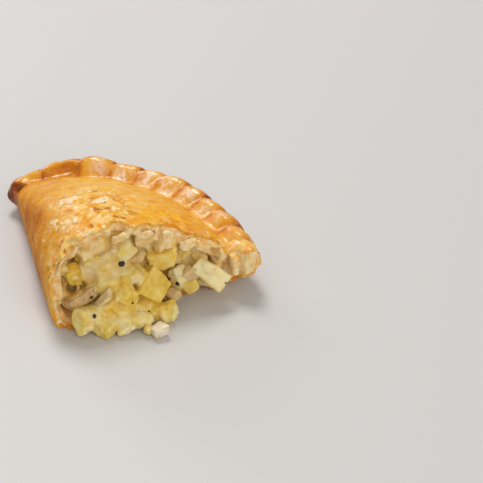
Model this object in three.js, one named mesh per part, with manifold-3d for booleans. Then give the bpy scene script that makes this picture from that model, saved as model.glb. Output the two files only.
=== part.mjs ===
// Half of a side-crimped pasty, broken across its middle.
//
// A baked pastry case lies flat on its base: a straight folded side, a domed top and a rope
// crimp along the curved side, which starts in a knob at the tip. The broken end is open and
// shows the case's thickness. A filling of diced potato and onion runs through the case, and
// some of it has tumbled out over the lower lip.
//
// Millimetres, +Z up. While it is built, the tip is at x = 0, the folded side runs along
// y = 0 towards the broken end at +X, and the crimp is at +Y. At the end the whole is moved so
// that its origin is the centre of its box, on the plane it rests on.

import * as THREE from 'three';
import { mergeVertices } from 'three/addons/utils/BufferGeometryUtils.js';
import Module from 'manifold-3d';

const wasm = await Module();
wasm.setup();

// ---------------------------------------------------------------- driving dimensions

const halfLength = 104; // tip to the middle of the whole pasty
const width = 85; // folded side to the outside of the crimp, at the middle
const height = 42; // top of the dome above the base
const wall = 4.8; // thickness of the baked pastry
const gap = 0.55; // clearance between case and filling

const outlinePower = 0.9; // 1 is a quarter ellipse, less is blunter at the tip
const foldBulge = 4.2; // how far the folded side swells out towards the middle
const peakShare = 0.34; // where the dome is highest, as a share of its width
const waist = 12; // height at which the case is widest
const baseSag = 1.2; // how far the base would bulge below the plane that it is pressed flat on
const tipHeight = 5; // height of the dome where it starts, at the tip
const tipStart = 3; // where the case begins, under the knob
const tipRound = 6; // and how far along it is rounded off

const ropeHalfWidth = 8.4; // half the crimp's width, seen from above
const ropeHalfHeight = 9;
const ropeCentreZ = 12.6;
const ropeRise = 1.3; // how much higher the crimp stands at the broken end
const ropeLifts = [[38, 14, 2.4], [86, 28, 1.8]]; // and where it arches up: middle, reach, height
const knobStart = -3.6; // where the knob at the tip begins, past the folded side
const knobDrop = 4.6; // how much lower it is than the rest of the crimp
const knobShrink = 0.34; // and how much slimmer, as a share
const grooveDepth = 0.24; // depth of the grooves between folds, as a share of the radius
const grooveWidth = 2; // half the width of a groove
const grooveSlant = 4; // how far a groove runs on along the crimp from inside to outside
const foldLengths = [12, 19, 17, 14, 13, 14, 12.5, 11.5, 12.5, 12]; // of the crimp, from the tip

const breakAtFold = 99; // the broken end's distance from the tip, at the folded side
const breakAtMiddle = 95; // and across the middle, where it is set back
const breakAtCrimp = 99;
const breakLean = 0.11; // how much further back the top of the break is, for its height
const undercut = 4; // how much further back the break is low down on the crimp's side
const undercutFrom = 40; // where that begins across the part, and the height where it ends
const undercutTop = 20;
const breakRoughness = 0.9;

const caseStations = 22;
const caseSides = 32;
const hollowStations = 12;
const hollowStart = 6; // where the hollow would start at the tip if the pastry had no thickness
const ropeSides = 12;
const ropeStep = 2.4; // spacing of the crimp's sections along it
const detail = 0.08; // shape finer than this is left out

const coreSetBack = 6; // how far the filling's smooth core stops behind the break
const diceSize = 10;
const dicePitch = 8.2;

// What has tumbled out over the lower lip: [x, y, z of the middle, size].
const spill = [
  [103, 9, 6.5, 12],
  [107, 19, 4, 8],
  [110, 27, 8, 11],
  [116, 33, 4.2, 8.5],
  [110, 40, 4.4, 8],
  [98, 37, 11, 14],
  [100, 22, 9.5, 12],
  [104, 32, 4.5, 11],
  [104, 16, 4.5, 10],
  [97, 54, 6.5, 10],
];

// ---------------------------------------------------------------- small helpers

const { sin, cos, abs, pow, max, min, sign, PI } = Math;
const lerp = THREE.MathUtils.lerp;
const clamp01 = (v) => THREE.MathUtils.clamp(v, 0, 1);
const smooth = (v) => THREE.MathUtils.smoothstep(v, 0, 1);
const bell = (v) => Math.exp(-v * v);

// A repeatable stream of numbers from -1 to 1.
function stream(seed) {
  let state = seed;
  return () => {
    state = (state * 16807) % 2147483647;
    return (2 * (state - 1)) / 2147483646 - 1;
  };
}

// A closed solid through rings of points, each end closed by a fan to the ring's middle.
function loft(rings) {
  const sides = rings[0].length;
  const middle = (ring) =>
    ring.reduce((sum, p) => sum.add(p), new THREE.Vector3()).divideScalar(sides);
  const points = [...rings.flat(), middle(rings[0]), middle(rings.at(-1))];
  const first = rings.length * sides;
  const index = [];
  for (let side = 0; side < sides; side++) {
    const next = (side + 1) % sides;
    for (let ring = 0; ring + 1 < rings.length; ring++) {
      const a = ring * sides + side;
      const b = ring * sides + next;
      index.push(a, b, b + sides, a, b + sides, a + sides);
    }
    const last = (rings.length - 1) * sides;
    index.push(first, next, side, first + 1, last + side, last + next);
  }
  return new THREE.BufferGeometry().setFromPoints(points).setIndex(index);
}

function toSolid(geometry) {
  const bare = geometry.clone();
  bare.deleteAttribute('normal');
  bare.deleteAttribute('uv');
  const merged = mergeVertices(bare, 1e-4);
  const solid = new wasm.Manifold(
    new wasm.Mesh({
      numProp: 3,
      vertProperties: merged.attributes.position.array,
      triVerts: new Uint32Array(merged.index.array),
    }),
  );
  if (solid.volume() > 0) return solid;
  throw new Error('a solid is inside out');
}

function toMesh(name, solid, look) {
  const { vertProperties, triVerts } = solid.getMesh();
  const geometry = new THREE.BufferGeometry()
    .setAttribute('position', new THREE.BufferAttribute(vertProperties, 3))
    .setIndex(new THREE.BufferAttribute(triVerts, 1));
  const mesh = new THREE.Mesh(geometry, new THREE.MeshStandardMaterial(look));
  mesh.name = name;
  return mesh;
}

// The largest of a solid's separate bodies, which drops slivers that a cut leaves.
function largest(solid) {
  return solid.decompose().sort((a, b) => b.volume() - a.volume())[0];
}

// ---------------------------------------------------------------- outline, seen from above

// The outside of the crimp at turn 0 (tip) to PI / 2 (middle of the whole pasty).
function outline(turn) {
  return new THREE.Vector2(
    halfLength * (1 - pow(cos(turn), outlinePower)),
    width * pow(sin(turn), outlinePower),
  );
}

// The turn at which the outline reaches a distance x from the tip.
function turnAt(x) {
  return Math.acos(pow(clamp01(1 - x / halfLength), 1 / outlinePower));
}

function foldY(x) {
  return -foldBulge * smooth(x / breakAtFold);
}

function domeHeight(x) {
  return lerp(tipHeight, height, pow(sin((PI / 2) * clamp01(x / breakAtFold)), 0.75));
}

// ---------------------------------------------------------------- pastry case

// One section across the case. inset is how far inside the baked surface it lies.
function caseSection(x, inset) {
  const full = pow(clamp01((x - tipStart) / tipRound), 0.5);
  const crimpSide = outline(turnAt(x)).y - ropeHalfWidth - 2.2 * max(inset, 0) - min(inset, 0);
  const foldSide = foldY(x) + inset + tipHeight * (1 - full);
  const span = max(crimpSide - foldSide, 0.4);
  const top = max(domeHeight(x) * (0.5 + 0.5 * full) - inset, inset + 2);
  const peakY = foldSide + span * peakShare;
  const widest = min(waist, 0.5 * (top + inset));
  return Array.from({ length: caseSides }, (_, side) => {
    const angle = (2 * PI * side) / caseSides;
    const along = cos(angle);
    const up = sin(angle);
    const reach = span * (along < 0 ? peakShare : 1 - peakShare);
    const tall = up < 0 ? widest - inset + baseSag : top - widest;
    const power = up < 0 ? 5 : along < 0 ? 2.4 : 1.38;
    const stretch = (v) => sign(v) * pow(abs(v), 2 / power);
    const z = max(widest + tall * stretch(up), inset);
    return new THREE.Vector3(x, peakY + reach * stretch(along), z);
  });
}

function caseBody(inset, from, to, stations) {
  const rings = [];
  for (let i = 0; i <= stations; i++) {
    const turn = ((PI / 2) * i) / stations;
    rings.push(caseSection(lerp(from, to, 1 - cos(turn)), inset));
  }
  return toSolid(loft(rings));
}

// ---------------------------------------------------------------- crimp

const grooves = foldLengths.reduce((at, length) => [...at, at.at(-1) + length], [0]).slice(1);

// How deep the groove is at a distance along the crimp, 1 at its bottom.
function groove(along) {
  return grooves.reduce((sum, at) => sum + bell((along - at) / grooveWidth), 0);
}

// Points at even steps along the outline, each with the distance along it and the way out.
// The first ones lie straight ahead of the tip, where the knob is.
function outlineSteps(step) {
  const steps = [];
  for (let along = knobStart; along < 0; along += step) {
    steps.push({ along, point: new THREE.Vector2(0, along), out: new THREE.Vector2(-1, 0) });
  }
  const fine = 2000;
  let along = 0;
  let next = step / 2;
  let before = outline(0);
  for (let i = 1; i <= fine; i++) {
    const here = outline(((PI / 2) * i) / fine);
    along += here.distanceTo(before);
    if (along >= next) {
      const forward = here.clone().sub(before).normalize();
      steps.push({ along, point: here, out: new THREE.Vector2(-forward.y, forward.x) });
      next += step;
    }
    before = here;
  }
  return steps;
}

// The rope crimp: an upright oval swept along the outline, rounded off in a knob at the tip
// and pinched by a slanted groove between one fold and the next.
function crimp(grow) {
  const rings = outlineSteps(ropeStep).map(({ along, point, out }) => {
    const fromStart = clamp01((along - knobStart + 0.4) / ropeHalfWidth);
    const knob = bell((along - knobStart) / 15);
    const full = pow(1 - pow(1 - fromStart, 2), 0.5) * (1 - knobShrink * knob);
    const arches = ropeLifts.map(([at, reach, lift]) => lift * bell((along - at) / reach));
    const rise = arches[0] + arches[1] + ropeRise * smooth((along - 55) / 30);
    const middleZ = ropeCentreZ + rise - knobDrop * knob;
    return Array.from({ length: ropeSides }, (_, side) => {
      const angle = (2 * PI * side) / ropeSides;
      const slant = grooveSlant * cos(angle);
      const radius = full * (1 - grooveDepth * groove(along - slant));
      const across = (ropeHalfWidth * radius + grow) * cos(angle) - ropeHalfWidth;
      const up = (ropeHalfHeight * radius + grow) * sin(angle);
      return new THREE.Vector3(
        point.x + out.x * across,
        point.y + out.y * across,
        middleZ + up,
      );
    });
  });
  return toSolid(loft(rings));
}

// ---------------------------------------------------------------- broken end

// Where the break is at a height z and a place y across the case.
function breakX(y, z) {
  const across = clamp01((y + foldBulge) / (width + foldBulge));
  const plan = lerp(
    lerp(breakAtFold, breakAtMiddle, smooth(across / 0.5)),
    breakAtCrimp,
    smooth((across - 0.75) / 0.22),
  );
  const ragged = sin(0.62 * y + 0.3 * z) + 0.7 * sin(0.31 * y - 0.55 * z + 2) + sin(1.1 * y + z);
  const under = smooth((y - undercutFrom) / 20) * (1 - smooth(z / undercutTop));
  return plan - breakLean * z - undercut * under + breakRoughness * ragged;
}

// Everything beyond the break, moved along X by a distance.
function beyondBreak(move) {
  const [low, high, step] = [-30, 110, 3.5];
  const [bottom, top, far] = [-21, 70, 200];
  const rings = [];
  for (let y = low; y <= high; y += step) {
    const edge = [];
    for (let z = bottom; z <= top; z += step) {
      edge.push(new THREE.Vector3(breakX(y, z) + move, y, z));
    }
    rings.push([...edge, new THREE.Vector3(far, y, top), new THREE.Vector3(far, y, bottom)]);
  }
  return toSolid(loft(rings));
}

// ---------------------------------------------------------------- case and filling

const shell = (grow) => caseBody(-grow, tipStart, halfLength + 4, caseStations).add(crimp(grow));
const hollow = (inset) => caseBody(inset, hollowStart + inset, halfLength + 5, hollowStations);

const pastry = largest(shell(0).subtract(hollow(wall)).subtract(beyondBreak(0)).simplify(detail));

// A block of potato or onion with skewed sides, turned at random.
function dice(random, [x, y, z, size]) {
  const block = new THREE.BoxGeometry(
    size * (1 + 0.2 * random()),
    size * (0.9 + 0.25 * random()),
    size * (0.75 + 0.2 * random()),
  );
  const skew = new THREE.Matrix4().makeShear(0.2 * random(), 0.2 * random(), 0, 0.2 * random(), 0, 0);
  const turn = new THREE.Euler(PI * random(), 0.5 * random(), 0.7 * random());
  block.applyMatrix4(skew);
  block.applyMatrix4(new THREE.Matrix4().makeRotationFromEuler(turn).setPosition(x, y, z));
  return toSolid(block);
}

// The dice that show at the break: one for each cell of a loose grid across the hollow.
function faceDice(random) {
  const blocks = [];
  for (let y = 4; y < 66; y += dicePitch) {
    for (let z = 7; z < domeHeight(breakAtMiddle) - wall; z += dicePitch) {
      const [atY, atZ] = [y + 1.5 * random(), z + 1.5 * random()];
      const x = breakX(atY, atZ) - coreSetBack + 1.5 + 2.5 * random();
      blocks.push(dice(random, [x, atY, atZ, diceSize * (1 + 0.15 * random())]));
    }
  }
  return wasm.Manifold.union(blocks);
}

const random = stream(20);
const inside = hollow(wall + gap);
const core = inside.subtract(beyondBreak(-coreSetBack));
const tumbled = wasm.Manifold.union(spill.map((block) => dice(random, block)));
const pastryAndGap = shell(gap).subtract(inside).subtract(beyondBreak(gap));
const below = toSolid(new THREE.BoxGeometry(400, 400, 40).translate(0, 0, -20));
const filling = largest(
  core
    .add(faceDice(random).intersect(inside))
    .add(tumbled)
    .subtract(pastryAndGap)
    .subtract(below)
    .simplify(detail),
);

const group = new THREE.Group();
group.add(toMesh('case', pastry, { color: 0xd9913a, roughness: 0.4, metalness: 0 }));
group.add(toMesh('filling', filling, { color: 0xd8c77a, roughness: 0.5, metalness: 0 }));

// The origin is put at the middle of the box the part fits in, on the plane it rests on.
const box = new THREE.Box3().setFromObject(group);
const middle = box.getCenter(new THREE.Vector3());
group.children.forEach((mesh) => mesh.geometry.translate(-middle.x, -middle.y, -box.min.z));

export default group;
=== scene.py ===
"""Half of a side-crimped pasty, broken across, with its filling tumbling out.

The crust, the filling's pieces and the sauce are worked out as fields on a grid, in millimetres,
from the same named sizes as the CAD part: the tip at x = 0, the folded side along y = 0, the crimp
at +Y, z up from the base. A field is below zero inside its solid and about as many millimetres
above zero outside. Each is turned into a mesh, and the mesh is moved into the CAD frame in metres.
"""

import math

import bpy
import numpy as np
from mathutils import Euler, Matrix, Vector


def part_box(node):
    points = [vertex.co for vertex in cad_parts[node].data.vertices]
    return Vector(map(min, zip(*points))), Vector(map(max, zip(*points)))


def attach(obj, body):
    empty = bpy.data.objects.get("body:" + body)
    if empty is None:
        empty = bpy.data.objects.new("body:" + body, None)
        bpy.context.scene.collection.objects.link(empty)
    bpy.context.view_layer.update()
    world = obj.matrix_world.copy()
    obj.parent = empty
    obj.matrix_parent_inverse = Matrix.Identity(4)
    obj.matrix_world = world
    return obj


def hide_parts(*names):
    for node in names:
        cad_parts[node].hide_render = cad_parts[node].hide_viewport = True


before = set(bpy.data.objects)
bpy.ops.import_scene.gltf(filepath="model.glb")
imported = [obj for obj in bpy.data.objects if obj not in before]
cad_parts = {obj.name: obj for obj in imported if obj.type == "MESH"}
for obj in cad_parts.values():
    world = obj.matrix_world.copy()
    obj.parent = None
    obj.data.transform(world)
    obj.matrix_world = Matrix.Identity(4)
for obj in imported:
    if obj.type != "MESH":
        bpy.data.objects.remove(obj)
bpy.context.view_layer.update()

# ------------------------------------------------------------------ sizes, as in the part, mm

HALF_LENGTH = 104.0
WIDTH = 85.0
HEIGHT = 42.0
WALL = 4.8
CLEARANCE = 0.55

OUTLINE_POWER = 0.9
FOLD_BULGE = 4.2
PEAK_SHARE = 0.34
WAIST = 12.0
BASE_SAG = 1.2
TIP_HEIGHT = 5.0
TIP_START = 3.0
TIP_ROUND = 6.0
HOLLOW_START = 6.0

ROPE_HALF_WIDTH = 8.4
ROPE_HALF_HEIGHT = 9.0
ROPE_CENTRE_Z = 12.6
ROPE_RISE = 1.3
ROPE_ARCHES = [(38.0, 14.0, 2.4), (86.0, 28.0, 1.8)]
KNOB_START = -3.6
KNOB_DROP = 4.6
KNOB_SHRINK = 0.34
KNOB_MIDDLE = (8.8, 3.4, 9.2)
KNOB_RADII = (6.4, 5.8, 6.2)
FOLD_LENGTHS = [12, 19, 17, 14, 13, 14, 12.5, 11.5, 12.5, 12, 12]
FOLD_SLANT = 4.0
FOLD_DEPTH = 0.19
ROPE_FACE = 0.74
ROPE_FACE_TILT = math.radians(38)

BREAK_AT_FOLD = 99.0
BREAK_AT_MIDDLE = 95.0
BREAK_AT_CRIMP = 99.0
BREAK_LEAN = 0.11
UNDERCUT = 4.0
UNDERCUT_FROM = 40.0
UNDERCUT_TOP = 20.0

# Where the lowest corner of the case's box lies, measured from the tip.
CASE_CORNER = np.array([1.6, -4.2, 0.0])

CRUST_STEP = 0.67
SAUCE_STEP = 0.8
CHUNK_STEP = 0.45

# Loose scraps of mesh with less surface than this, in square millimetres, are left out.
SCRAP_AREA = 60.0

# How far apart the scattered dice and crumbs of the filling are.
DICE_PITCH = 6.3
CRUMB_PITCH = 3.9

origin_mm = np.array(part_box("case")[0]) * 1000 - CASE_CORNER


# ------------------------------------------------------------------ small helpers


def clamp01(value):
    return np.clip(value, 0.0, 1.0)


def smooth(value):
    value = clamp01(value)
    return value * value * (3 - 2 * value)


def bell(value):
    return np.exp(-value * value)


def lerp(a, b, t):
    return a + (b - a) * t


def smooth_min(a, b, blend):
    t = clamp01(0.5 + 0.5 * (b - a) / blend)
    return lerp(b, a, t) - blend * t * (1 - t)


def noise(x, y, z, scale, seed):
    """Smooth noise from -1 to 1 whose lumps are about scale across."""
    x, y, z = np.broadcast_arrays(x / scale, y / scale, z / scale)
    cells = 64
    table = np.random.default_rng(seed).uniform(-1, 1, (cells, cells, cells)).astype(np.float32)
    low = [np.floor(v).astype(np.int32) for v in (x, y, z)]
    part = [smooth(v - f) for v, f in zip((x, y, z), low)]
    total = np.zeros(x.shape, np.float32)
    for corner in range(8):
        bits = [(corner >> axis) & 1 for axis in range(3)]
        index = tuple((f + b) % cells for f, b in zip(low, bits))
        weight = 1.0
        for t, b in zip(part, bits):
            weight = weight * (t if b else 1 - t)
        total += weight * table[index]
    return total


def layered_noise(x, y, z, scale, seed, octaves=3):
    total = 0.0
    for octave in range(octaves):
        total = total + noise(x, y, z, scale / 2**octave, seed + octave) / 2**octave
    return total / (2 - 0.5 ** (octaves - 1))


# ------------------------------------------------------------------ form of the pasty


def outline(turn):
    """The crimp's outer edge, seen from above, from the tip (0) to the middle (a quarter turn)."""
    x = HALF_LENGTH * (1 - np.cos(turn) ** OUTLINE_POWER)
    y = WIDTH * np.sin(turn) ** OUTLINE_POWER
    return x, y


def outline_y(x):
    return outline(np.arccos(clamp01(1 - x / HALF_LENGTH) ** (1 / OUTLINE_POWER)))[1]


def dome_height(x):
    rise = np.sin(math.pi / 2 * clamp01(x / BREAK_AT_FOLD)) ** 0.75
    return lerp(TIP_HEIGHT, HEIGHT, rise)


def dome(x, y, z, inset=0.0):
    """Below zero inside the case; inset is how far under the baked surface the limit lies."""
    full = clamp01((x - TIP_START) / TIP_ROUND) ** 0.5
    crimp_side = outline_y(x) - ROPE_HALF_WIDTH - 2.2 * inset
    fold_side = -FOLD_BULGE * smooth(x / BREAK_AT_FOLD) + inset + TIP_HEIGHT * (1 - full)
    span = np.maximum(crimp_side - fold_side, 0.4)
    top = np.maximum(dome_height(x) * (0.5 + 0.5 * full) - inset, inset + 2)
    peak_y = fold_side + span * PEAK_SHARE
    widest = np.minimum(WAIST, 0.5 * (top + inset))
    on_fold_side = y < peak_y
    below = z < widest
    across = np.abs(y - peak_y) / (span * np.where(on_fold_side, PEAK_SHARE, 1 - PEAK_SHARE))
    up = np.abs(z - widest) / np.where(below, widest - inset + BASE_SAG, top - widest)
    power = np.where(below, 5.0, np.where(on_fold_side, 2.4, 1.38))
    return (across**power + up**power) ** (1 / power) - 1


def crimp_route(step=0.35):
    """Points along the crimp's outer edge, with the distance along it and the way out."""
    turn = np.linspace(0, math.pi / 2, 4000)
    x, y = outline(turn)
    ahead = np.arange(KNOB_START, 0, step)
    x = np.concatenate([0 * ahead, x])
    y = np.concatenate([ahead, y])
    along = np.concatenate([[0], np.cumsum(np.hypot(np.diff(x), np.diff(y)))]) + KNOB_START
    even = np.arange(KNOB_START, along[-1], step)
    x, y = np.interp(even, along, x), np.interp(even, along, y)
    forward = np.gradient(np.stack([x, y]), axis=1)
    forward /= np.linalg.norm(forward, axis=0)
    return even, x, y, -forward[1], forward[0]


def crimp_place(x, y):
    """For places seen from above: the distance along the crimp, and how far outside its edge."""
    along, route_x, route_y, out_x, out_y = crimp_route()
    flat_x, flat_y = np.ravel(x), np.ravel(y)
    nearest = np.empty(flat_x.size, np.int32)
    for start in range(0, flat_x.size, 4000):
        part = slice(start, start + 4000)
        dx = flat_x[part, None] - route_x
        dy = flat_y[part, None] - route_y
        nearest[part] = np.argmin(dx * dx + dy * dy, axis=1)
    dx, dy = flat_x - route_x[nearest], flat_y - route_y[nearest]
    off = dx * out_x[nearest] + dy * out_y[nearest]
    onward = dx * out_y[nearest] - dy * out_x[nearest]
    past_start = np.where(nearest == 0, np.minimum(onward, 0), 0)
    return (along[nearest] + past_start).reshape(x.shape), off.reshape(x.shape)


def fold_place(along):
    """Which fold of the crimp a distance falls in, and how far through it, 0 to 1."""
    edges = np.concatenate([[KNOB_START], np.cumsum(FOLD_LENGTHS)])
    index = np.clip(np.searchsorted(edges, along, side="right") - 1, 0, len(FOLD_LENGTHS) - 1)
    return index, clamp01((along - edges[index]) / (edges[index + 1] - edges[index]))


def crimp(along, off, z):
    """How far outside the rope crimp, roughly, below zero inside it."""
    knob = bell((along - KNOB_START) / 15)
    from_start = clamp01((along - KNOB_START) / ROPE_HALF_WIDTH)
    full = np.sqrt(1 - (1 - from_start) ** 2) * (1 - KNOB_SHRINK * knob)
    rise = ROPE_RISE * smooth((along - 55) / 30) - KNOB_DROP * knob
    for at, reach, lift in ROPE_ARCHES:
        rise = rise + lift * bell((along - at) / reach)
    across = (off + ROPE_HALF_WIDTH) / ROPE_HALF_WIDTH
    up = (z - ROPE_CENTRE_Z - rise) / ROPE_HALF_HEIGHT
    reach = np.hypot(across, up) + 1e-6
    fold, through = fold_place(along - FOLD_SLANT * across / reach)
    swell = np.random.default_rng(3).uniform(-0.05, 0.05, len(FOLD_LENGTHS))[fold]
    hump = (4 * through**1.2 * (1 - through**1.2)) ** 0.42
    flat = np.maximum(up * math.cos(ROPE_FACE_TILT) - across * math.sin(ROPE_FACE_TILT), 0)
    reach = (reach**8 + (flat / ROPE_FACE) ** 8) ** (1 / 8)
    edge = reach - full * (1 + swell - FOLD_DEPTH * (1 - hump))
    return np.maximum(edge * ROPE_HALF_WIDTH, KNOB_START - along)


def knob(x, y, z):
    """The lump of folded-over pastry where the crimp starts, at the tip."""
    parts = [((v - m) / r) ** 2 for v, m, r in zip((x, y, z), KNOB_MIDDLE, KNOB_RADII)]
    return (np.sqrt(sum(parts)) - 1) * min(KNOB_RADII)


def break_x(y, z):
    """Where the broken end is, before its raggedness."""
    across = clamp01((y + FOLD_BULGE) / (WIDTH + FOLD_BULGE))
    plan = lerp(BREAK_AT_FOLD, BREAK_AT_MIDDLE, smooth(across / 0.5))
    plan = lerp(plan, BREAK_AT_CRIMP, smooth((across - 0.75) / 0.22))
    under = smooth((y - UNDERCUT_FROM) / 20) * (1 - smooth(z / UNDERCUT_TOP))
    return plan - BREAK_LEAN * z - UNDERCUT * under


# ------------------------------------------------------------------ fields to meshes


class Grid:
    """Even points in a box, with the fields on them."""

    def __init__(self, low, high, step):
        self.low, self.step = np.array(low, float), step
        counts = np.ceil((np.array(high) - self.low) / step).astype(int) + 1
        axes = [self.low[i] + step * np.arange(counts[i]) for i in range(3)]
        self.x = axes[0][:, None, None]
        self.y = axes[1][None, :, None]
        self.z = axes[2][None, None, :]
        self.shape = tuple(counts)

    def distance(self, field):
        """A field made even, so that its values are about millimetres near the surface."""
        field = np.broadcast_to(field, self.shape).astype(np.float32)
        slopes = np.gradient(field, self.step)
        slope = np.sqrt(sum(s * s for s in slopes))
        return field / np.maximum(slope, 1e-3)

    def at(self, field, points):
        """The field's value at each point."""
        place = (points - self.low) / self.step
        place = np.clip(place, 0, np.array(self.shape) - 1.001)
        low = place.astype(int)
        part = place - low
        total = 0.0
        for corner in range(8):
            bits = np.array([(corner >> axis) & 1 for axis in range(3)])
            weight = np.prod(np.where(bits, part, 1 - part), axis=1)
            i, j, k = (low + bits).T
            total = total + weight * field[i, j, k]
        return total

    def surface(self, field):
        """Surface nets: one point in each cell that the surface crosses, and quads between them."""
        inside = field < 0
        cells = tuple(n - 1 for n in self.shape)
        total = np.zeros(cells + (3,), np.float32)
        count = np.zeros(cells, np.float32)
        index_grid = np.indices(self.shape, dtype=np.float32)
        edges = []
        for axis in range(3):
            first = [slice(None)] * 3
            second = [slice(None)] * 3
            first[axis], second[axis] = slice(0, -1), slice(1, None)
            a, b = field[tuple(first)], field[tuple(second)]
            crossed = inside[tuple(first)] != inside[tuple(second)]
            share = np.where(crossed, a / np.where(crossed, a - b, 1), 0)
            point = np.stack([index_grid[i][tuple(first)] for i in range(3)], -1)
            point[..., axis] += share
            point *= crossed[..., None]
            others = [i for i in range(3) if i != axis]
            for shift in ((0, 0), (0, 1), (1, 0), (1, 1)):
                take = [slice(None)] * 3
                for other, by in zip(others, shift):
                    take[other] = slice(by, by + cells[other])
                total += point[tuple(take)]
                count += crossed[tuple(take)]
            edges.append((axis, others, crossed, inside[tuple(first)]))
        used = count > 0
        number = np.full(cells, -1, np.int64)
        number[used] = np.arange(used.sum())
        points = self.low + self.step * total[used] / count[used][:, None]
        quads = []
        for axis, others, crossed, starts_inside in edges:
            take = [slice(None)] * 3
            for other in others:
                take[other] = slice(1, -1)
            place = np.argwhere(crossed[tuple(take)])
            for other in others:
                place[:, other] += 1
            sign = starts_inside[tuple(place.T)]
            corners = []
            for shift in ((1, 1), (0, 1), (0, 0), (1, 0)):
                cell = place.copy()
                cell[:, others[0]] -= shift[0]
                cell[:, others[1]] -= shift[1]
                corners.append(number[tuple(cell.T)])
            quad = np.stack(corners, 1)
            flip = sign if axis != 1 else ~sign
            quads.append(np.where(flip[:, None], quad, quad[:, ::-1]))
        return without_scraps(points, np.concatenate(quads), SCRAP_AREA / self.step**2)


def without_scraps(points, quads, fewest):
    """The mesh without the loose scraps, of fewer faces than this, where two fields barely meet."""
    label = np.arange(len(points))
    while True:
        lowest = label[quads].min(1)
        joined = label.copy()
        for corner in range(4):
            np.minimum.at(joined, quads[:, corner], lowest)
        joined = joined[joined]
        if (joined == label).all():
            break
        label = joined
    group = label[quads[:, 0]]
    quads = quads[np.bincount(group)[group] >= fewest]
    used, number = np.unique(quads, return_inverse=True)
    return points[used], number.reshape(quads.shape)


def relax(points, quads, times):
    """Even out a mesh a little: each point moves towards the middle of its neighbours."""
    a = np.concatenate([quads[:, i] for i in range(4)])
    b = np.concatenate([quads[:, (i + 1) % 4] for i in range(4)])
    a, b = np.concatenate([a, b]), np.concatenate([b, a])
    count = np.bincount(a, minlength=len(points))[:, None]
    for time in range(times):
        push = 0.5 if time % 2 == 0 else -0.52
        mean = np.stack([np.bincount(a, points[b, i], len(points)) for i in range(3)], 1) / count
        points = points + (mean - points) * push
    return points


def normals_of(points, quads):
    diagonal_a = points[quads[:, 2]] - points[quads[:, 0]]
    diagonal_b = points[quads[:, 3]] - points[quads[:, 1]]
    face = np.cross(diagonal_a, diagonal_b)
    total = np.zeros_like(points)
    for corner in range(4):
        for axis in range(3):
            total[:, axis] += np.bincount(quads[:, corner], face[:, axis], len(points))
    return total / np.maximum(np.linalg.norm(total, axis=1, keepdims=True), 1e-9)


def make_piece(name, points, faces, material, node, attributes=None):
    """A smooth mesh object in the CAD frame, from points in millimetres."""
    mesh = bpy.data.meshes.new(name)
    mesh.from_pydata(((points + origin_mm) / 1000).tolist(), [], faces.tolist())
    for key, values in (attributes or {}).items():
        layer = mesh.attributes.new(key, "FLOAT", "POINT")
        layer.data.foreach_set("value", np.asarray(values, np.float32))
    mesh.shade_smooth()
    mesh.materials.append(material)
    piece = bpy.data.objects.new(name, mesh)
    bpy.context.collection.objects.link(piece)
    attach(piece, "root")
    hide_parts(node)
    return piece


# ------------------------------------------------------------------ cut and broken pieces


def chunk(rng, middle, size, turn, tone=0.5, skew=0.16, cuts=2):
    """A knife-cut piece, as flat sides at odd angles: their outward ways and distances."""
    sides = []
    for axis in range(3):
        for side in (-1, 1):
            normal = rng.normal(0, skew, 3)
            normal[axis] = side
            sides.append((normal / np.linalg.norm(normal), size[axis] / 2 * rng.uniform(0.9, 1.06)))
    for _ in range(cuts):
        normal = rng.normal(0, 1, 3)
        normal /= np.linalg.norm(normal)
        sides.append((normal, np.abs(normal * size).sum() / 2 * rng.uniform(0.66, 0.82)))
    rotation = np.array(turn.to_matrix())
    sides = [(rotation @ normal, distance) for normal, distance in sides]
    return {"middle": np.array(middle, float), "sides": sides, "size": np.array(size), "tone": tone}


def placed(rng, entries, cuts, skew=0.16):
    chunks = []
    for middle, size, (turn, tilt_x, tilt_y), tone in entries:
        rotation = Euler([math.radians(a) for a in (tilt_x, tilt_y, turn)])
        chunks.append(chunk(rng, middle, np.array(size, float), rotation, tone, skew, cuts))
    return chunks


def scattered(rng, pitch, smallest, largest, behind, inset, wild, tones):
    """Pieces all over the broken end, at random, a little behind it."""
    chunks = []
    for y in np.arange(3, 70, pitch):
        for z in np.arange(6, HEIGHT, pitch):
            at_y, at_z = y + rng.uniform(-1.5, 1.5), z + rng.uniform(-1.5, 1.5)
            at_x = break_x(at_y, at_z) - behind + rng.uniform(-2, 1.5)
            turn = Euler((*(wild * rng.uniform(-1, 1, 2)), math.pi * rng.uniform(-1, 1)))
            size, tone = rng.uniform(smallest, largest, 3), rng.uniform(*tones)
            if dome(93.0, at_y, at_z, WALL + inset) < 0:
                chunks.append(chunk(rng, (at_x, at_y, at_z), size, turn, tone))
    return chunks


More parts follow.
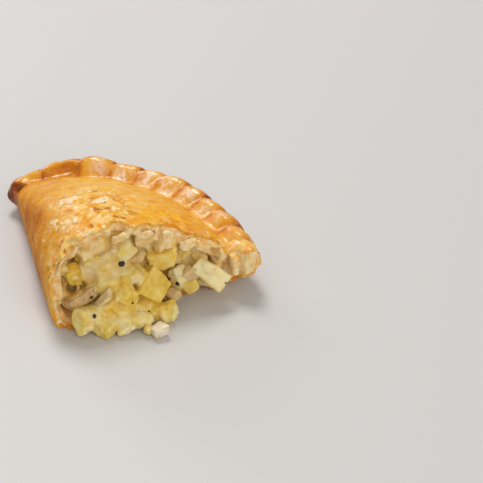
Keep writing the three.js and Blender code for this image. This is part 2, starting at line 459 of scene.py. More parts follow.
def chunk_field(grid, chunks, edge, blend):
    """Below zero inside any of the pieces, with edges rounded by edge; and each place's tone."""
    field = np.full(grid.shape, 8.0, np.float32)
    tone = np.full(grid.shape, 0.5, np.float32)
    for piece in chunks:
        reach = np.linalg.norm(piece["size"]) / 2 + 3
        low = np.floor((piece["middle"] - reach - grid.low) / grid.step).astype(int)
        high = np.ceil((piece["middle"] + reach - grid.low) / grid.step).astype(int)
        low, high = np.clip(low, 0, grid.shape), np.clip(high, 0, grid.shape)
        i, j, k = [slice(a, b) for a, b in zip(low, high)]
        x = grid.x[i] - piece["middle"][0]
        y = grid.y[:, j] - piece["middle"][1]
        z = grid.z[:, :, k] - piece["middle"][2]
        total = 0.0
        for normal, distance in piece["sides"]:
            beyond = x * normal[0] + y * normal[1] + z * normal[2] - distance
            total = total + np.exp(np.minimum(beyond, 12) / edge)
        solid = edge * np.log(total)
        tone[i, j, k] = np.where(solid < field[i, j, k], piece["tone"], tone[i, j, k])
        field[i, j, k] = smooth_min(field[i, j, k], solid, blend)
    return field, tone


# ------------------------------------------------------------------ materials


class Shader:
    """A material's node tree, with short calls for the nodes used here."""

    def __init__(self, name):
        self.material = bpy.data.materials.new(name)
        self.material.use_nodes = True
        self.tree = self.material.node_tree
        self.tree.nodes.clear()
        self.out = self.tree.nodes.new("ShaderNodeOutputMaterial")
        self.bsdf = self.tree.nodes.new("ShaderNodeBsdfPrincipled")
        self.link(self.bsdf.outputs[0], self.out.inputs["Surface"])
        self.place = self.tree.nodes.new("ShaderNodeTexCoord").outputs["Object"]

    def link(self, source, target):
        self.tree.links.new(source, target)

    def set(self, **values):
        for key, value in values.items():
            self.bsdf.inputs[key.replace("_", " ")].default_value = value

    def attribute(self, name):
        node = self.tree.nodes.new("ShaderNodeAttribute")
        node.attribute_name = name
        return node.outputs["Fac"]

    def noise(self, lump_mm, detail=3.0, roughness=0.55):
        node = self.tree.nodes.new("ShaderNodeTexNoise")
        node.inputs["Scale"].default_value = 1000 / lump_mm
        node.inputs["Detail"].default_value = detail
        node.inputs["Roughness"].default_value = roughness
        self.link(self.place, node.inputs["Vector"])
        return node.outputs["Fac"]

    def math(self, operation, a, b):
        node = self.tree.nodes.new("ShaderNodeMath")
        node.operation = operation
        for socket, value in zip(node.inputs, (a, b)):
            if isinstance(value, (int, float)):
                socket.default_value = value
            else:
                self.link(value, socket)
        return node.outputs[0]

    def ramp(self, value, low, high, to_low=0.0, to_high=1.0):
        node = self.tree.nodes.new("ShaderNodeMapRange")
        node.interpolation_type = "SMOOTHSTEP"
        self.link(value, node.inputs["Value"])
        node.inputs["From Min"].default_value = low
        node.inputs["From Max"].default_value = high
        node.inputs["To Min"].default_value = to_low
        node.inputs["To Max"].default_value = to_high
        return node.outputs["Result"]

    def colours(self, value, stops):
        node = self.tree.nodes.new("ShaderNodeValToRGB")
        self.link(value, node.inputs["Fac"])
        elements = node.color_ramp.elements
        while len(elements) < len(stops):
            elements.new(0.5)
        for element, (position, colour) in zip(elements, stops):
            element.position = position
            element.color = linear(colour)
        return node.outputs["Color"]

    def mix(self, share, a, b):
        node = self.tree.nodes.new("ShaderNodeMix")
        node.data_type = "RGBA"
        for key, value in (("Factor", share), ("A", a), ("B", b)):
            socket = next(s for s in node.inputs if s.name == key and s.enabled)
            if isinstance(value, (int, float)):
                socket.default_value = value
            elif isinstance(value, str):
                socket.default_value = linear(value)
            else:
                self.link(value, socket)
        return next(s for s in node.outputs if s.enabled)

    def bump(self, height, distance_mm, strength=1.0, after=None):
        node = self.tree.nodes.new("ShaderNodeBump")
        node.inputs["Distance"].default_value = distance_mm / 1000
        node.inputs["Strength"].default_value = strength
        self.link(height, node.inputs["Height"])
        if after is not None:
            self.link(after, node.inputs["Normal"])
        return node.outputs["Normal"]


def linear(colour):
    """A colour written as "rrggbb", in the renderer's linear values."""
    values = [int(colour[i : i + 2], 16) / 255 for i in (0, 2, 4)]
    values = [v / 12.92 if v < 0.04045 else ((v + 0.055) / 1.055) ** 2.4 for v in values]
    return (*values, 1.0)


# From barely baked to nearly burnt.
BAKE_COLOURS = [
    (0.0, "f3c561"),
    (0.22, "efb036"),
    (0.42, "e19521"),
    (0.62, "c77012"),
    (0.82, "9c4c10"),
    (1.0, "5f2a10"),
]
CRUMB_COLOURS = [(0.28, "e8b566"), (0.42, "f4cd88"), (0.56, "fbe2ac"), (0.75, "fff0d2")]

# Colours of the flaky top: lump size in mm, where in the noise each one shows, and the colour.
FLAKE_COLOURS = [
    (5.2, 0.45, 0.56, "fbd480"),
    (6.5, 0.52, 0.6, "f0960e"),
    (3.8, 0.56, 0.64, "fde8b4"),
    (4.4, 0.59, 0.66, "b4602a"),
]
POOLED_GLAZE_COLOURS = ("f6b82a", "ea9008")
PAINTED_HIGHLIGHT_COLOUR = "fee6cc"
BLISTER_AND_HIGHLIGHT_COLOUR = "fdeccb"
BUTTERY_COLOUR = "f2ab3a"


def patchy(s, name, lump_mm, low, high, to_low, to_high):
    """One of the mesh's attributes, broken up into patches by noise."""
    share = s.ramp(s.noise(lump_mm, 3), low, high, to_low, to_high)
    return s.math("MULTIPLY", s.attribute(name), share)


def ragged_share(s, name, lump_mm, detail, depth, low, high):
    """One of the mesh's attributes as a share, 0 to 1, with a ragged edge."""
    reach = s.ramp(s.noise(lump_mm, detail), low, high, -depth, depth)
    return s.math("ADD", s.attribute(name), reach)


def baked_skin(s):
    """The colour of the glazed outside: the bake, with painted shade in the crimp's creases and
    dimples and partly on the folded side, its flakes, pooled glaze, a painted highlight on the crimp's
    folds, and pale blisters whose colour is partly a painted highlight.
    """
    # The bake, with painted shade darkening the crimp's creases and dimples and part of the folded
    # side.
    bake_and_shade = s.math("ADD", s.attribute("bake_and_shade"), s.ramp(s.noise(5.0, 4), 0.3, 0.7, -0.10, 0.10))
    skin = s.colours(bake_and_shade, BAKE_COLOURS)
    flaky = s.attribute("flaky")
    for lump_mm, low, high, colour in FLAKE_COLOURS:
        share = s.math("MULTIPLY", flaky, s.ramp(s.noise(lump_mm, 2), low, high))
        skin = s.mix(s.math("MULTIPLY", share, 0.85), skin, colour)
    pooled = s.mix(s.ramp(s.noise(8.0, 2), 0.42, 0.56), *POOLED_GLAZE_COLOURS)
    skin = s.mix(patchy(s, "yolk", 5.0, 0.3, 0.5, 0.35, 0.95), skin, pooled)
    # Painted highlight: pale pinkish patches on the crimp's folds, where the glaze catches the lamps.
    skin = s.mix(patchy(s, "painted_highlight", 3.0, 0.4, 0.58, 0.1, 1.0), skin, PAINTED_HIGHLIGHT_COLOUR)
    # Paler blisters, their whitish colour partly a painted glaze highlight, along with the crimp's
    # painted highlight.
    pale = s.ramp(ragged_share(s, "pale", 2.9, 4, 0.45, 0.3, 0.7), 0.4, 0.6)
    return s.mix(s.math("MULTIPLY", pale, 0.8), skin, BLISTER_AND_HIGHLIGHT_COLOUR)


def crust_material():
    s = Shader("baked crust")
    torn = s.ramp(ragged_share(s, "torn", 3.2, 3, 0.5, 0.25, 0.75), 0.3, 0.7)
    crumb = s.colours(s.noise(2.6, 4, 0.6), CRUMB_COLOURS)
    buttery = patchy(s, "gold", 4.0, 0.42, 0.56, 0.0, 0.8)
    colour = s.mix(buttery, s.mix(torn, baked_skin(s), crumb), BUTTERY_COLOUR)
    s.link(colour, s.bsdf.inputs["Base Color"])
    rough = s.ramp(s.noise(3.0, 3), 0.3, 0.7, 0.4, 0.6)
    s.link(s.math("MAXIMUM", rough, s.math("MULTIPLY", torn, 0.75)), s.bsdf.inputs["Roughness"])
    glaze = s.math("MULTIPLY", s.math("SUBTRACT", 1.0, torn), s.attribute("glaze"))
    glaze = s.math("MULTIPLY", glaze, s.ramp(s.noise(4.0, 3), 0.35, 0.6, 0.3, 1.0))
    s.link(glaze, s.bsdf.inputs["Coat Weight"])
    s.set(Coat_Roughness=0.14, Specular_IOR_Level=0.04)
    s.set(Subsurface_Weight=0.12, Subsurface_Scale=0.002, Subsurface_Radius=(1.0, 0.5, 0.2))
    lumps = s.bump(s.noise(3.2, 4, 0.6), 0.5, 0.5)
    fine = s.bump(s.noise(0.9, 3, 0.6), 0.22, 0.5, lumps)
    s.link(fine, s.bsdf.inputs["Normal"])
    return s.material


def soft_food_material(name, stops, lump_mm, roughness, depth_mm):
    """Moist cooked food: mottled colour, a wet gloss and some light passing under the surface."""
    s = Shader(name)
    tone = s.math("ADD", s.attribute("tone"), s.ramp(s.noise(lump_mm, 4), 0.25, 0.75, -0.22, 0.22))
    s.link(s.colours(tone, stops), s.bsdf.inputs["Base Color"])
    rough = s.ramp(s.noise(2.4, 3), 0.3, 0.7, roughness, roughness + 0.2)
    s.link(rough, s.bsdf.inputs["Roughness"])
    s.set(Specular_IOR_Level=0.2, Coat_Weight=0.22, Coat_Roughness=0.15)
    s.set(Subsurface_Weight=0.35, Subsurface_Scale=depth_mm / 1000)
    s.set(Subsurface_Radius=(1.0, 0.75, 0.3))
    lumps = s.bump(s.noise(2.2, 4, 0.6), 0.35, 0.45)
    fine = s.bump(s.noise(0.7, 3, 0.6), 0.12, 0.4, lumps)
    s.link(fine, s.bsdf.inputs["Normal"])
    return s.material


def pepper_material():
    s = Shader("cracked pepper")
    colour = s.colours(s.noise(0.8, 2), [(0.3, "1d1a1a"), (0.7, "4a3f38")])
    s.link(colour, s.bsdf.inputs["Base Color"])
    s.set(Roughness=0.6)
    s.link(s.bump(s.noise(0.5, 2), 0.2, 0.8), s.bsdf.inputs["Normal"])
    return s.material


# ------------------------------------------------------------------ crust

# Hollows pressed into the crimp, each a thick line: two ends and a radius.
DIMPLES = [
    ((11.0, 0.2, 13.0), (12.4, 1.8, 13.8), 1.9),
    ((12.2, 1.8, 13.6), (17.0, 9.6, 15.4), 1.2),
    ((13.4, 13.5, 19.6), (14.6, 24.5, 20.8), 3.1),
]


# Soft-edged patches of the top, seen from above: middle and reach.
BLISTERED = ((73, 16), (13, 9))
FLAKY = ((80, 29), (24, 21))
POOLED_GLAZE = ((81, 49), (15, 13))
LIGHTER_BAKES = [(0.1, (60, 26), (30, 20)), (0.08, (64, 45), (18, 16))]


def patch(x, y, middle, reach):
    """How far into a patch a place lies: 1 at its middle, fading to 0."""
    return bell((x - middle[0]) / reach[0]) * bell((y - middle[1]) / reach[1])


def line_distance(place, start, end):
    way = np.array(end) - np.array(start)
    rel = [p - s for p, s in zip(place, start)]
    share = clamp01(sum(r * w for r, w in zip(rel, way)) / (way @ way))
    return np.sqrt(sum((r - share * w) ** 2 for r, w in zip(rel, way)))


def case_forms(grid):
    """The case's outside, with its crimp, knob and flat base, and the hollow inside it."""
    x, y, z = grid.x, grid.y, grid.z
    along, off = crimp_place(*np.broadcast_arrays(x[:, :, 0], y[:, :, 0]))
    along, off = along[:, :, None], off[:, :, None]
    body = np.maximum(grid.distance(dome(x, y, z)), TIP_START - x)
    body = body + 0.55 * noise(x, y, z, 17, 5) + 0.25 * noise(x, y, z, 7, 6)
    rope = smooth_min(crimp(along, off, z), knob(x, y, z), 1.5) + 0.3 * noise(x, y, z, 6, 7)
    outer = smooth_min(body, rope, 2.2)
    for start, end, radius in DIMPLES:
        outer = -smooth_min(-outer, line_distance((x, y, z), start, end) - radius, 1.0)
    hollow = np.maximum(grid.distance(dome(x, y, z, WALL)), HOLLOW_START + WALL - x)
    hollow = np.maximum(hollow, WALL - z) + 0.5 * noise(x, y, z, 9, 8)
    return np.maximum(outer, -z), hollow


def torn_end(grid, outer):
    """How far beyond the broken end: a ragged edge, in thin layers that each tear differently."""
    x, y, z = grid.x, grid.y, grid.z
    layer = np.floor(-outer / 1.05 + 0.8 * noise(x, y, z, 11, 9))
    ragged = (1.8 + 1.4 * smooth((z - 16) / 12)) * noise(0 * x, y, z, 8, 10)
    ragged = ragged + 1.6 * noise(0 * x, y, z, 3, 11)
    flaky = 2.0 * noise(3.7 * layer, y, z, 3.6, 12)
    return x - break_x(y, z) - ragged - flaky


def torn_flaps(grid):
    x, y, z = grid.x, grid.y, grid.z
    flaps, _ = chunk_field(grid, placed(np.random.default_rng(60), FLAPS, 2), 0.3, 0.3)
    return flaps + 0.7 * noise(x, y, z, 4, 61) + 0.3 * noise(x, y, z, 1.8, 62)


def blisters(points, depth, near_break):
    """How blistered and how flaky each place is, and how far that makes it stand out."""
    x, y, z = points.T
    on_top = smooth((z - 14) / 10) * (depth < 1)
    spots = smooth((noise(x, y, z, 4.6, 20) + 0.3 * noise(x, y, z, 1.9, 26) - 0.08) / 0.2)
    blister = spots * clamp01(0.06 + 1.4 * patch(x, y, *BLISTERED)) * on_top
    flaky = clamp01(1.3 * patch(x, y, *FLAKY) + 0.8 * bell(near_break / 7)) * on_top
    rough = (0.1 + 0.2 * flaky) * noise(x, y, z, 1.6, 23) + 0.35 * flaky * noise(x, y, z, 4, 25)
    return blister, flaky, 0.55 * blister + rough * on_top


def crust_looks(points, depth, near_break, on_flap, blister, flaky):
    """What the crust's material reads at each place, each about 0 to 1."""
    x, y, z = points.T
    along, off = crimp_place(x, y)
    _, through = fold_place(along - 0.5 * FOLD_SLANT)
    on_rope = smooth((off + 2.1 * ROPE_HALF_WIDTH) / 3)
    above_foot = smooth((off + 1.95 * ROPE_HALF_WIDTH) / 2.6)
    rim = smooth((off + 8) / 4)
    crease_shade = on_rope * (1 - (4 * through * (1 - through)) ** 0.4)
    dimple_shade = sum(bell(line_distance((x, y, z), a, b) / (1.3 * r)) for a, b, r in DIMPLES)
    on_fold = smooth((9 - y) / 10) * smooth((38 - z) / 12)
    low = smooth((15 - z) / 14)

    bake_and_shade = 0.33 + 0.16 * layered_noise(x, y, z, 14, 21) + 0.12 * layered_noise(x, y, z, 5, 22)
    bake_and_shade = bake_and_shade + on_rope * (0.2 * rim - 0.17 * above_foot + 0.06)
    # Painted shade: the creases between the crimp's folds and the dimples pressed into it are darkened
    # here for the shade that falls in them.
    bake_and_shade = bake_and_shade + 0.5 * crease_shade + 0.4 * clamp01(dimple_shade)
    bake_and_shade = bake_and_shade + 0.1 * low * smooth((92 - x) / 30) + 0.1 * smooth((2 - z) / 1.5)
    # Darker on the folded side, partly its deeper bake and partly painted shade where that side turns
    # away from the lamps; darker at the tip too.
    bake_and_shade = bake_and_shade + 0.13 * on_fold * smooth((104 - x) / 30) + 0.08 * smooth((12 - x) / 12)
    bake_and_shade = bake_and_shade + on_fold * (0.06 * bell((x - 62) / 24) - 0.13 * bell((x - 94) / 9))
    bake_and_shade = bake_and_shade - 0.22 * bell(near_break / 2.5) * smooth((z - 4) / 6)
    for less, middle, reach in LIGHTER_BAKES:
        bake_and_shade = bake_and_shade - less * patch(x, y, middle, reach)

    yolk = 1.5 * patch(x, y, *POOLED_GLAZE) * smooth((z - 14) / 8) * (1 - on_rope)
    yolk = clamp01(yolk * (0.8 + 0.6 * layered_noise(x, y, z, 9, 24)))
    glaze = 0.34 * smooth((z - 14) / 14) * (1 - on_fold) + 0.75 * above_foot
    torn = np.maximum(smooth((depth - 0.9) / 1.2), 1.15 * on_flap * (depth > 0.5))
    # Painted highlight: a pale patch in the middle of each fold's inner face, fading out towards the
    # broken end.
    painted_highlight = above_foot * (1 - rim) * bell((through - 0.45) / 0.28) * smooth((along - 36) / 10)
    painted_highlight = painted_highlight * (1 - 0.85 * smooth((x - 68) / 12))
    gold = bell((y - 12) / 6) * bell((z - 31) / 6)
    gold = gold + 0.7 * smooth((6 - y) / 5) * smooth((24 - z) / 10)
    return {
        # The bake, with painted shade in the crimp's creases and dimples and partly on the folded
        # side.
        "bake_and_shade": bake_and_shade,
        "torn": torn,
        # Paler blisters, their whitish colour partly a painted highlight, and a little more painted
        # highlight on the crimp's folds.
        "pale": 0.75 * blister + 0.12 * painted_highlight,
        "glaze": glaze * (1 - 0.8 * yolk),
        # Painted highlight on the crimp's folds.
        "painted_highlight": painted_highlight,
        "yolk": yolk,
        "flaky": flaky * (1 - 0.6 * yolk),
        "gold": gold * smooth((4 - near_break) / 2),
    }


def build_crust():
    grid = Grid((-1.5, -6.5, -1.5), (103, 88, 44.5), CRUST_STEP)
    outer, hollow = case_forms(grid)
    broken = torn_end(grid, outer)
    flaps = torn_flaps(grid)
    field = np.maximum(np.maximum(outer, -hollow), broken)
    field = smooth_min(field, np.maximum(flaps, outer + 0.3), 0.5)

    points, quads = grid.surface(field)
    points = relax(points, quads, 4)
    depth = -grid.at(outer, points)
    near_break = -grid.at(broken, points)
    on_flap = smooth(1.2 - grid.at(flaps, points))
    blister, flaky, rise = blisters(points, depth, near_break)
    looks = crust_looks(points, depth, near_break, on_flap, blister, flaky)
    points = points + normals_of(points, quads) * rise[:, None]
    return make_piece("crust", points, quads, crust_material(), "case", looks)


# ------------------------------------------------------------------ filling

# The pieces that show best: middle (x, y, z), size, turn about z and tilts about x and y, degrees,
# and how light its tone is, 0 to 1. First the potato that is still in clean dice.
DICE = [
    ((99.5, 36.2, 13), (10.5, 11, 11), (12, 40, -26), 0.36),
    ((99.5, 60.4, 13.4), (5.5, 17.5, 7.6), (-14, -36, -42), 0.84),
    ((93.0, 6.5, 21.5), (6, 6.5, 7), (10, 8, 10), 0.22),
]
POTATO = [
    ((105, 7.5, 7.0), (8, 7, 11), (25, -12, 6), 0.62),
    ((104.5, 12.5, 7.5), (8, 7, 9), (-20, 18, 12), 0.7),
    ((108.5, 26.5, 4.8), (6, 15.5, 6), (-4, 3, 12), 0.72),
    ((107.2, 41.2, 3.2), (5, 9, 5), (28, 10, 20), 0.62),
    ((104.5, 36.5, 4.5), (7, 8, 7), (15, 20, 10), 0.4),
    ((105.5, 41.2, 5.4), (5, 6, 5), (-15, 12, 20), 0.4),
    ((105.5, 22.5, 7.6), (6, 7, 6), (30, 12, 5), 0.5),
    ((113.0, 31.5, 2.2), (4, 6, 4), (20, 0, 10), 0.6),
    ((98.4, 32.4, 16.5), (8, 7, 9), (20, 10, 0), 0.55),
    ((110.5, 21.5, 2.2), (4.5, 5, 4.5), (15, 20, 0), 0.85),
    ((102.5, 25, 13.5), (8, 8.5, 8), (20, 42, 10), 0.42),
    ((92.5, 16, 24), (7, 11, 9), (-25, -10, 20), 0.66),
    ((92, 27, 27), (7, 10, 7), (30, 15, -10), 0.7),
    ((90, 45, 27), (7, 11, 7), (10, -12, 25), 0.62),
    ((93, 44, 21.5), (8, 12, 7), (-15, 10, 0), 0.5),
    ((93, 54, 20.5), (8, 10, 7), (35, 0, 15), 0.5),
    ((103, 31, 5.5), (8, 9, 8), (60, 0, 10), 0.5),
    ((107.5, 16, 3.8), (7, 8, 6.5), (30, 10, 10), 0.62),
    ((97.5, 27, 20), (8, 8, 6), (10, 25, 10), 0.4),
    ((97, 19, 18), (8, 9, 8), (70, 10, 0), 0.66),
    ((96, 49, 11.5), (8, 8, 8), (30, 0, 30), 0.75),
    ((95, 54, 7.5), (8, 7, 6), (0, 30, 10), 0.5),
    ((101, 19, 9), (7, 8, 8), (35, 30, 10), 0.55),
]
ONION = [
    ((115.4, 34.5, 2.7), (4.8, 6, 5), (25, 15, 10), 0.86),
    ((98.6, 7.2, 13.8), (7, 13.5, 3), (10, 12, -8), 0.2),
    ((103.8, 15.6, 14.2), (4, 12, 2), (0, 66, 16), 0.62),
    ((99.5, 47.5, 17), (3.4, 3.6, 2.8), (10, 20, 30), 0.82),
    ((94, 31, 24), (5, 9, 3), (-30, 20, 20), 0.45),
    ((97.5, 52, 14), (4, 7, 4), (20, 40, 10), 0.5),
    ((92.5, 21, 29), (6, 9, 3), (-20, 25, 10), 0.5),
    ((101, 45, 7.5), (5, 5, 5), (20, 25, 10), 0.45),
]

# Specks of cracked pepper: middle and radius.
PEPPER = [
    ((97.0, 25.6, 24.6), 1.3),
    ((101.6, 42.6, 16.6), 1.15),
    ((101.4, 46.8, 12.8), 1.1),
    ((109.6, 10.2, 11.4), 1.1),
    ((106.8, 26.5, 12.0), 0.8),
    ((110.2, 31.8, 8.9), 0.6),
    ((102.8, 66.8, 9.6), 0.6),
    ((102.6, 11.0, 15.4), 0.8),
]

# Which of the potato pieces lie in the heap that has tumbled out, and how many bits lie on it.
SPILLED = [0, 1, 2, 3, 4, 10, 16, 17, 22]
SPILLED_CRUMBS = 90

# The lowest and the farthest out that the middle of such a bit may lie.
CRUMB_LOWEST = 0.6
CRUMB_FARTHEST = 113.5

# How far off the ground the pieces and the sauce stay.
PIECES_LOWEST = 0.02
SAUCE_LOWEST = 0.03

# Hollows left between the filling and the case: middle and radius.
HOLLOWS = [
    ((92, 7, 27), 3.4),
    ((88.5, 8, 24.5), 2.6),
    ((85, 9.5, 22), 2.6),
    ((92, 3, 18.5), 2.6),
    ((96.5, 5, 17.2), 2.4),
    ((97.5, 9.5, 17.8), 2.0),
    ((94, 5, 15.5), 2.4),
    ((91, 6, 13.5), 2.4),
    ((88, 7, 11.5), 2.4),
    ((94.5, 9.5, 16), 1.9),
    ((91.5, 10.5, 14), 1.9),
    ((97.5, 4.5, 8.5), 3.0),
    ((94, 61, 20.5), 2.6),
    ((93, 56, 24.5), 1.8),
    ((91, 34, 31), 2.5),
]

# Room kept around the slab of onion and the small dice, so that they show: middle and radius.
KEPT_CLEAR = [
    ((102.5, 2, 14.5), 4.0),
    ((102.5, 7, 14.5), 4.0),
    ((102.5, 12, 14.5), 4.0),
    ((97.5, 6.5, 22.0), 4.5),
]

# Flaps of pastry left standing along the broken edge, in the same way as the pieces above.
FLAPS = [
    ((94.6, 44.6, 30), (2.4, 6, 9), (6, -14, 12), 0.8),
    ((92.8, 36, 32), (2.6, 9, 9), (-10, 16, 20), 0.5),
    ((96.0, 51.5, 27), (2.2, 8, 4.5), (10, -18, 26), 0.7),
    ((94.2, 26, 35), (2.2, 8, 4.5), (-8, 10, 30), 0.5),
    ((96.2, 59.5, 25), (2.4, 7, 4.5), (10, -30, 16), 0.7),
    ((97.6, 66.5, 18), (3.0, 2.2, 14), (10, -6, 0), 0.6),
    ((98.2, 71.8, 17), (3.6, 2.4, 14), (14, 4, 4), 0.8),
    ((98.2, 78.0, 16.2), (6.0, 7.2, 13), (10, -6, 4), 1.0),
    ((95.0, 14, 34), (2.4, 7, 5), (-14, 24, 26), 0.5),
]


def spilled_crumbs(rng):
    """Small broken bits over the heap that has tumbled out."""
    chunks = []
    for _ in range(SPILLED_CRUMBS):
        (at_x, at_y, at_z), size, _, _ = POTATO[rng.choice(SPILLED)]
        way = rng.normal(0, 1, 3)
        way = way / np.linalg.norm(way) * [1, 1, 0.8]
        middle = np.array([at_x, at_y, at_z]) + way * np.array(size) * 0.46
        turn = Euler(math.pi * rng.uniform(-1, 1, 3))
        if middle[2] > CRUMB_LOWEST and middle[0] < CRUMB_FARTHEST:
            size, tone = rng.uniform(1.4, 3.6, 3), rng.uniform(0.4, 0.95)
            chunks.append(chunk(rng, middle, size, turn, tone))
    return chunks


def in_the_way(piece):
    """Whether a piece fills one of the hollows, or hides a piece that should show."""
    gaps = [(middle, radius + 0.35 * piece["size"].mean()) for middle, radius in HOLLOWS]
    gaps += KEPT_CLEAR
    return any(np.linalg.norm(piece["middle"] - middle) < reach for middle, reach in gaps)


def filling_pieces(rng):
    """The clean dice, the softer pieces, the small bits and the onion."""
    dice = placed(rng, DICE, cuts=1, skew=0.07)
    mash = placed(rng, POTATO, cuts=3)
    mash += scattered(
        rng, DICE_PITCH, smallest=5.5, largest=8.5, behind=6.5, inset=3.5, wild=0.5, tones=(0.4, 0.8)
    )
    crumbs = scattered(
        rng, CRUMB_PITCH, smallest=1.6, largest=4.2, behind=3.2, inset=1.5, wild=1.5, tones=(0.45, 0.9)
    )
    crumbs += spilled_crumbs(rng)
    onion = placed(rng, ONION, cuts=1)
    mash = [piece for piece in mash if not in_the_way(piece)]
    crumbs = [piece for piece in crumbs if not in_the_way(piece)]
    return dice, mash, crumbs, onion


def make_food(name, grid, field, tone, material):
    points, quads = grid.surface(field)
    points = relax(points, quads, 2)
    make_piece(name, points, quads, material, "filling", {"tone": grid.at(tone, points)})


def build_potato(grid, dice, mash, crumbs, uneven):
    clean, clean_tone = chunk_field(grid, dice, 0.35, 0.4)
    soft, soft_tone = chunk_field(grid, mash, 0.4, 0.45)
    bits, bits_tone = chunk_field(grid, crumbs, 0.2, 0.3)
    soft_tone = np.where(bits < soft, bits_tone, soft_tone)
    soft = smooth_min(soft, bits + 0.1, 0.45) + 1.1 * uneven
    tone = np.where(soft < clean, soft_tone, clean_tone)
    potato = smooth_min(clean + 0.6 * uneven, soft, 0.4)
    potato = np.maximum(potato, PIECES_LOWEST - grid.z)
    make_food("potato", grid, potato, tone, potato_material())
    return potato


def build_onion(grid, pieces, uneven):
    onion, tone = chunk_field(grid, pieces, 0.3, 0.4)
    onion = np.maximum(onion + 0.3 * uneven, PIECES_LOWEST - grid.z)
    make_food("onion", grid, onion, tone, onion_material())
    return onion


def build_sauce(grid, pieces):
    """The soft mass, which fills the hollow of the case and clings to the pieces at its end."""
    x, y, z = grid.x, grid.y, grid.z
    inset = WALL + CLEARANCE
    inside = np.maximum(grid.distance(dome(x, y, z, inset)), HOLLOW_START + inset - x)
    inside = np.maximum(inside, inset - z)
    lumps = 2.2 * noise(x, y, z, 6, 30) + 1.1 * noise(x, y, z, 2.8, 31)
    mass = np.maximum(inside, x - break_x(y, z) + 3.2 + lumps)
    coated, _ = chunk_field(grid, pieces, 0.6, 1.0)
    spilled = smooth((x - 100) / 4)
    creamy = bell((y - 20) / 13) * bell((z - 22) / 8)
    cling = 0.9 * noise(x, y, z, 5, 33) + 1.1 * spilled - 0.8 * creamy
    mass = smooth_min(mass, coated + 0.2 + cling, 4.0)
    for middle, radius in HOLLOWS:
        away = np.sqrt((x - middle[0]) ** 2 + (y - middle[1]) ** 2 + (z - middle[2]) ** 2)
        mass = -smooth_min(-mass, away - radius, 1.0)
    mass = np.maximum(mass, SAUCE_LOWEST - z)
    points, quads = grid.surface(mass)
    points = relax(points, quads, 2)
    tone = 0.6 + 0.4 * layered_noise(*points.T, 6, 32)
    make_piece("sauce", points, quads, sauce_material(), "filling", {"tone": tone})
    return mass


def build_filling():
    """All of the filling but its pepper; gives back how far any place is outside it."""
    dice, mash, crumbs, pieces_of_onion = filling_pieces(np.random.default_rng(50))
    front = Grid((82, -4, -1), (121, 74, 39), CHUNK_STEP)
    x, y, z = front.x, front.y, front.z
    uneven = 0.35 * noise(x, y, z, 3, 40) + 0.3 * noise(x, y, z, 6, 41)
    uneven = uneven + 0.2 * noise(x, y, z, 1.3, 42)
    potato = build_potato(front, dice, mash, crumbs, uneven)
    onion = build_onion(front, pieces_of_onion, uneven)
    whole = Grid((8, -4, -1), (118, 76, 40), SAUCE_STEP)
    sauce = build_sauce(whole, dice + mash + pieces_of_onion + crumbs)

    def outside(places):
        solids = [front.at(potato, places), front.at(onion, places), whole.at(sauce, places)]
        return np.minimum.reduce(solids)

    return outside


def potato_material():
    return soft_food_material(
        "cooked potato",
        [(0.05, "cea633"), (0.35, "eec852"), (0.6, "f5d97c"), (0.9, "fae8b0")],
        4.0,
        0.32,
        3.0,
    )


def onion_material():
    return soft_food_material(
        "cooked onion",
        [(0.05, "c29c68"), (0.4, "e0be84"), (0.7, "efd8a2"), (0.95, "f5ead2")],
        3.0,
        0.22,
        4.0,
    )


def sauce_material():
    return soft_food_material(
        "pale sauce",
        [(0.1, "c99b40"), (0.35, "e9c164"), (0.6, "f4d688"), (0.9, "fae7b4")],
        3.0,
        0.3,
        3.0,
    )


# How far a speck is looked for along the line of sight, in what steps, and how deep it then sits.
SPECK_SEARCH = np.arange(-9.0, 12.0, 0.1)
SPECK_DEPTH = 0.1


def rested(middle, outside):
    """A speck's place, moved along the line of sight to where it meets the food."""
    heading, elevation = math.radians(CAMERA_HEADING), math.radians(CAMERA_ELEVATION)
    level = math.cos(elevation)
    away = np.array([-math.sin(heading) * level, math.cos(heading) * level, -math.sin(elevation)])
    places = np.array(middle) + SPECK_SEARCH[:, None] * away
    return places[np.argmax(outside(places) < -SPECK_DEPTH)]


def build_pepper(outside):
    rng = np.random.default_rng(70)
    points, quads = [], []
    for number, (middle, radius) in enumerate(PEPPER):
        size = radius * rng.uniform(0.7, 1.1, 3)
        lump = PEBBLE_POINTS * size
        lump = lump * (1 + 0.25 * noise(*(lump + 9.0 * number).T, 0.6, 71))[:, None]
        points.append(lump + rested(middle, outside))
        quads.append(PEBBLE_QUADS + number * len(PEBBLE_POINTS))
    points, quads = np.concatenate(points), np.concatenate(quads)
    make_piece("pepper", points, quads, pepper_material(), "filling")


def sphere_directions(divisions):
    """Directions all round, in quads, from the six sides of a cube."""
    points, quads = [], []
    steps = np.tan(np.linspace(-math.pi / 4, math.pi / 4, divisions + 1))
    for axis in range(3):
        for side in (-1, 1):
            first = len(points)
            for u in steps:
                for v in steps:
                    p = np.empty(3)
                    p[axis], p[(axis + 1) % 3], p[(axis + 2) % 3] = side, u * side, v
                    points.append(p / np.linalg.norm(p))
            for i in range(divisions):
                for j in range(divisions):
                    a = first + i * (divisions + 1) + j
                    quads.append((a, a + divisions + 1, a + divisions + 2, a + 1))
    points, quads = np.array(points), np.array(quads)
    _, keep, back = np.unique(points.round(6), axis=0, return_index=True, return_inverse=True)
    return points[keep], back.reshape(-1)[quads]


PEBBLE_POINTS, PEBBLE_QUADS = sphere_directions(6)


# ------------------------------------------------------------------ stage

CAMERA_AIM = (0.00332, 0.04705, 0.0)
CAMERA_DISTANCE = 0.58461
CAMERA_HEADING = 70.0
CAMERA_ELEVATION = 34.738
CAMERA_ROLL = 0.804
CAMERA_LENS = 100
CAMERA_SENSOR = 36

FLOOR_HALF_SIZE = 1.5
FLOOR_COLOUR = "d2d2d2"
WORLD_COLOUR = "f4f2f0"
WORLD_STRENGTH = 0.42


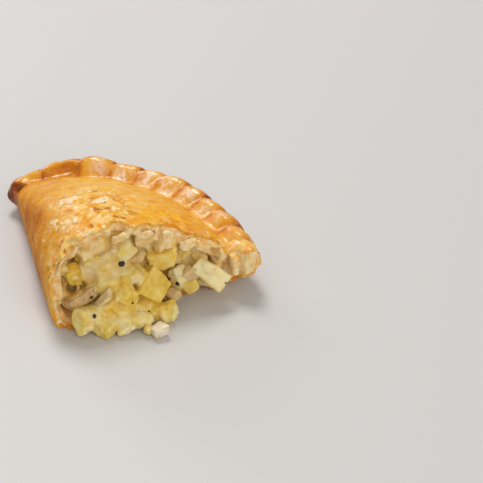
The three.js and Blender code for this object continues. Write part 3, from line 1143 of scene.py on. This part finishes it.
def build_camera():
    camera = bpy.data.objects.new("camera", bpy.data.cameras.new("camera"))
    camera.data.lens = CAMERA_LENS
    camera.data.sensor_width = CAMERA_SENSOR
    camera.data.clip_start = 0.01
    turn = Matrix.Rotation(math.radians(CAMERA_HEADING), 4, "Z")
    tilt = Matrix.Rotation(math.radians(90 - CAMERA_ELEVATION), 4, "X")
    roll = Matrix.Rotation(math.radians(CAMERA_ROLL), 4, "Z")
    back = Matrix.Translation((0, 0, CAMERA_DISTANCE))
    camera.matrix_world = Matrix.Translation(CAMERA_AIM) @ turn @ tilt @ back @ roll
    bpy.context.collection.objects.link(camera)
    bpy.context.scene.camera = camera


def build_floor():
    mesh = bpy.data.meshes.new("floor")
    half = FLOOR_HALF_SIZE
    corners = [(-half, -half, 0), (half, -half, 0), (half, half, 0), (-half, half, 0)]
    mesh.from_pydata(corners, [], [(0, 1, 2, 3)])
    floor = bpy.data.objects.new("floor", mesh)
    bpy.context.collection.objects.link(floor)
    s = Shader("pale floor")
    s.bsdf.inputs["Base Color"].default_value = linear(FLOOR_COLOUR)
    s.set(Roughness=0.5)
    mesh.materials.append(s.material)


def build_light(name, way, distance, size, power, colour):
    """A soft lamp; way is (right, away from the camera, up) as the camera sees it."""
    turn = Matrix.Rotation(math.radians(CAMERA_HEADING), 3, "Z")
    direction = (turn @ Vector(way)).normalized()
    lamp = bpy.data.lights.new(name, "AREA")
    lamp.shape = "DISK"
    lamp.size = size
    lamp.energy = power
    lamp.color = linear(colour)[:3]
    light = bpy.data.objects.new(name, lamp)
    aimed = direction.to_track_quat("Z", "Y").to_matrix().to_4x4()
    light.matrix_world = Matrix.Translation(direction * distance) @ aimed
    bpy.context.collection.objects.link(light)


def build_stage():
    build_camera()
    build_floor()
    build_light("overhead", (-0.15, 0.55, 1.0), 1.6, 0.6, 12.5, "fffaf4")
    build_light("window", (-0.7, 1.0, 0.5), 1.8, 0.8, 7.0, "ffffff")
    build_light("fill", (0.5, -0.9, 0.6), 1.6, 1.2, 8.5, "fffaf4")
    world = bpy.data.worlds.new("studio")
    bpy.context.scene.world = world
    world.use_nodes = True
    background = world.node_tree.nodes["Background"]
    background.inputs["Color"].default_value = linear(WORLD_COLOUR)
    background.inputs["Strength"].default_value = WORLD_STRENGTH
    bpy.context.scene.view_settings.view_transform = "Standard"


# ------------------------------------------------------------------ build

build_crust()
build_pepper(build_filling())
build_stage()
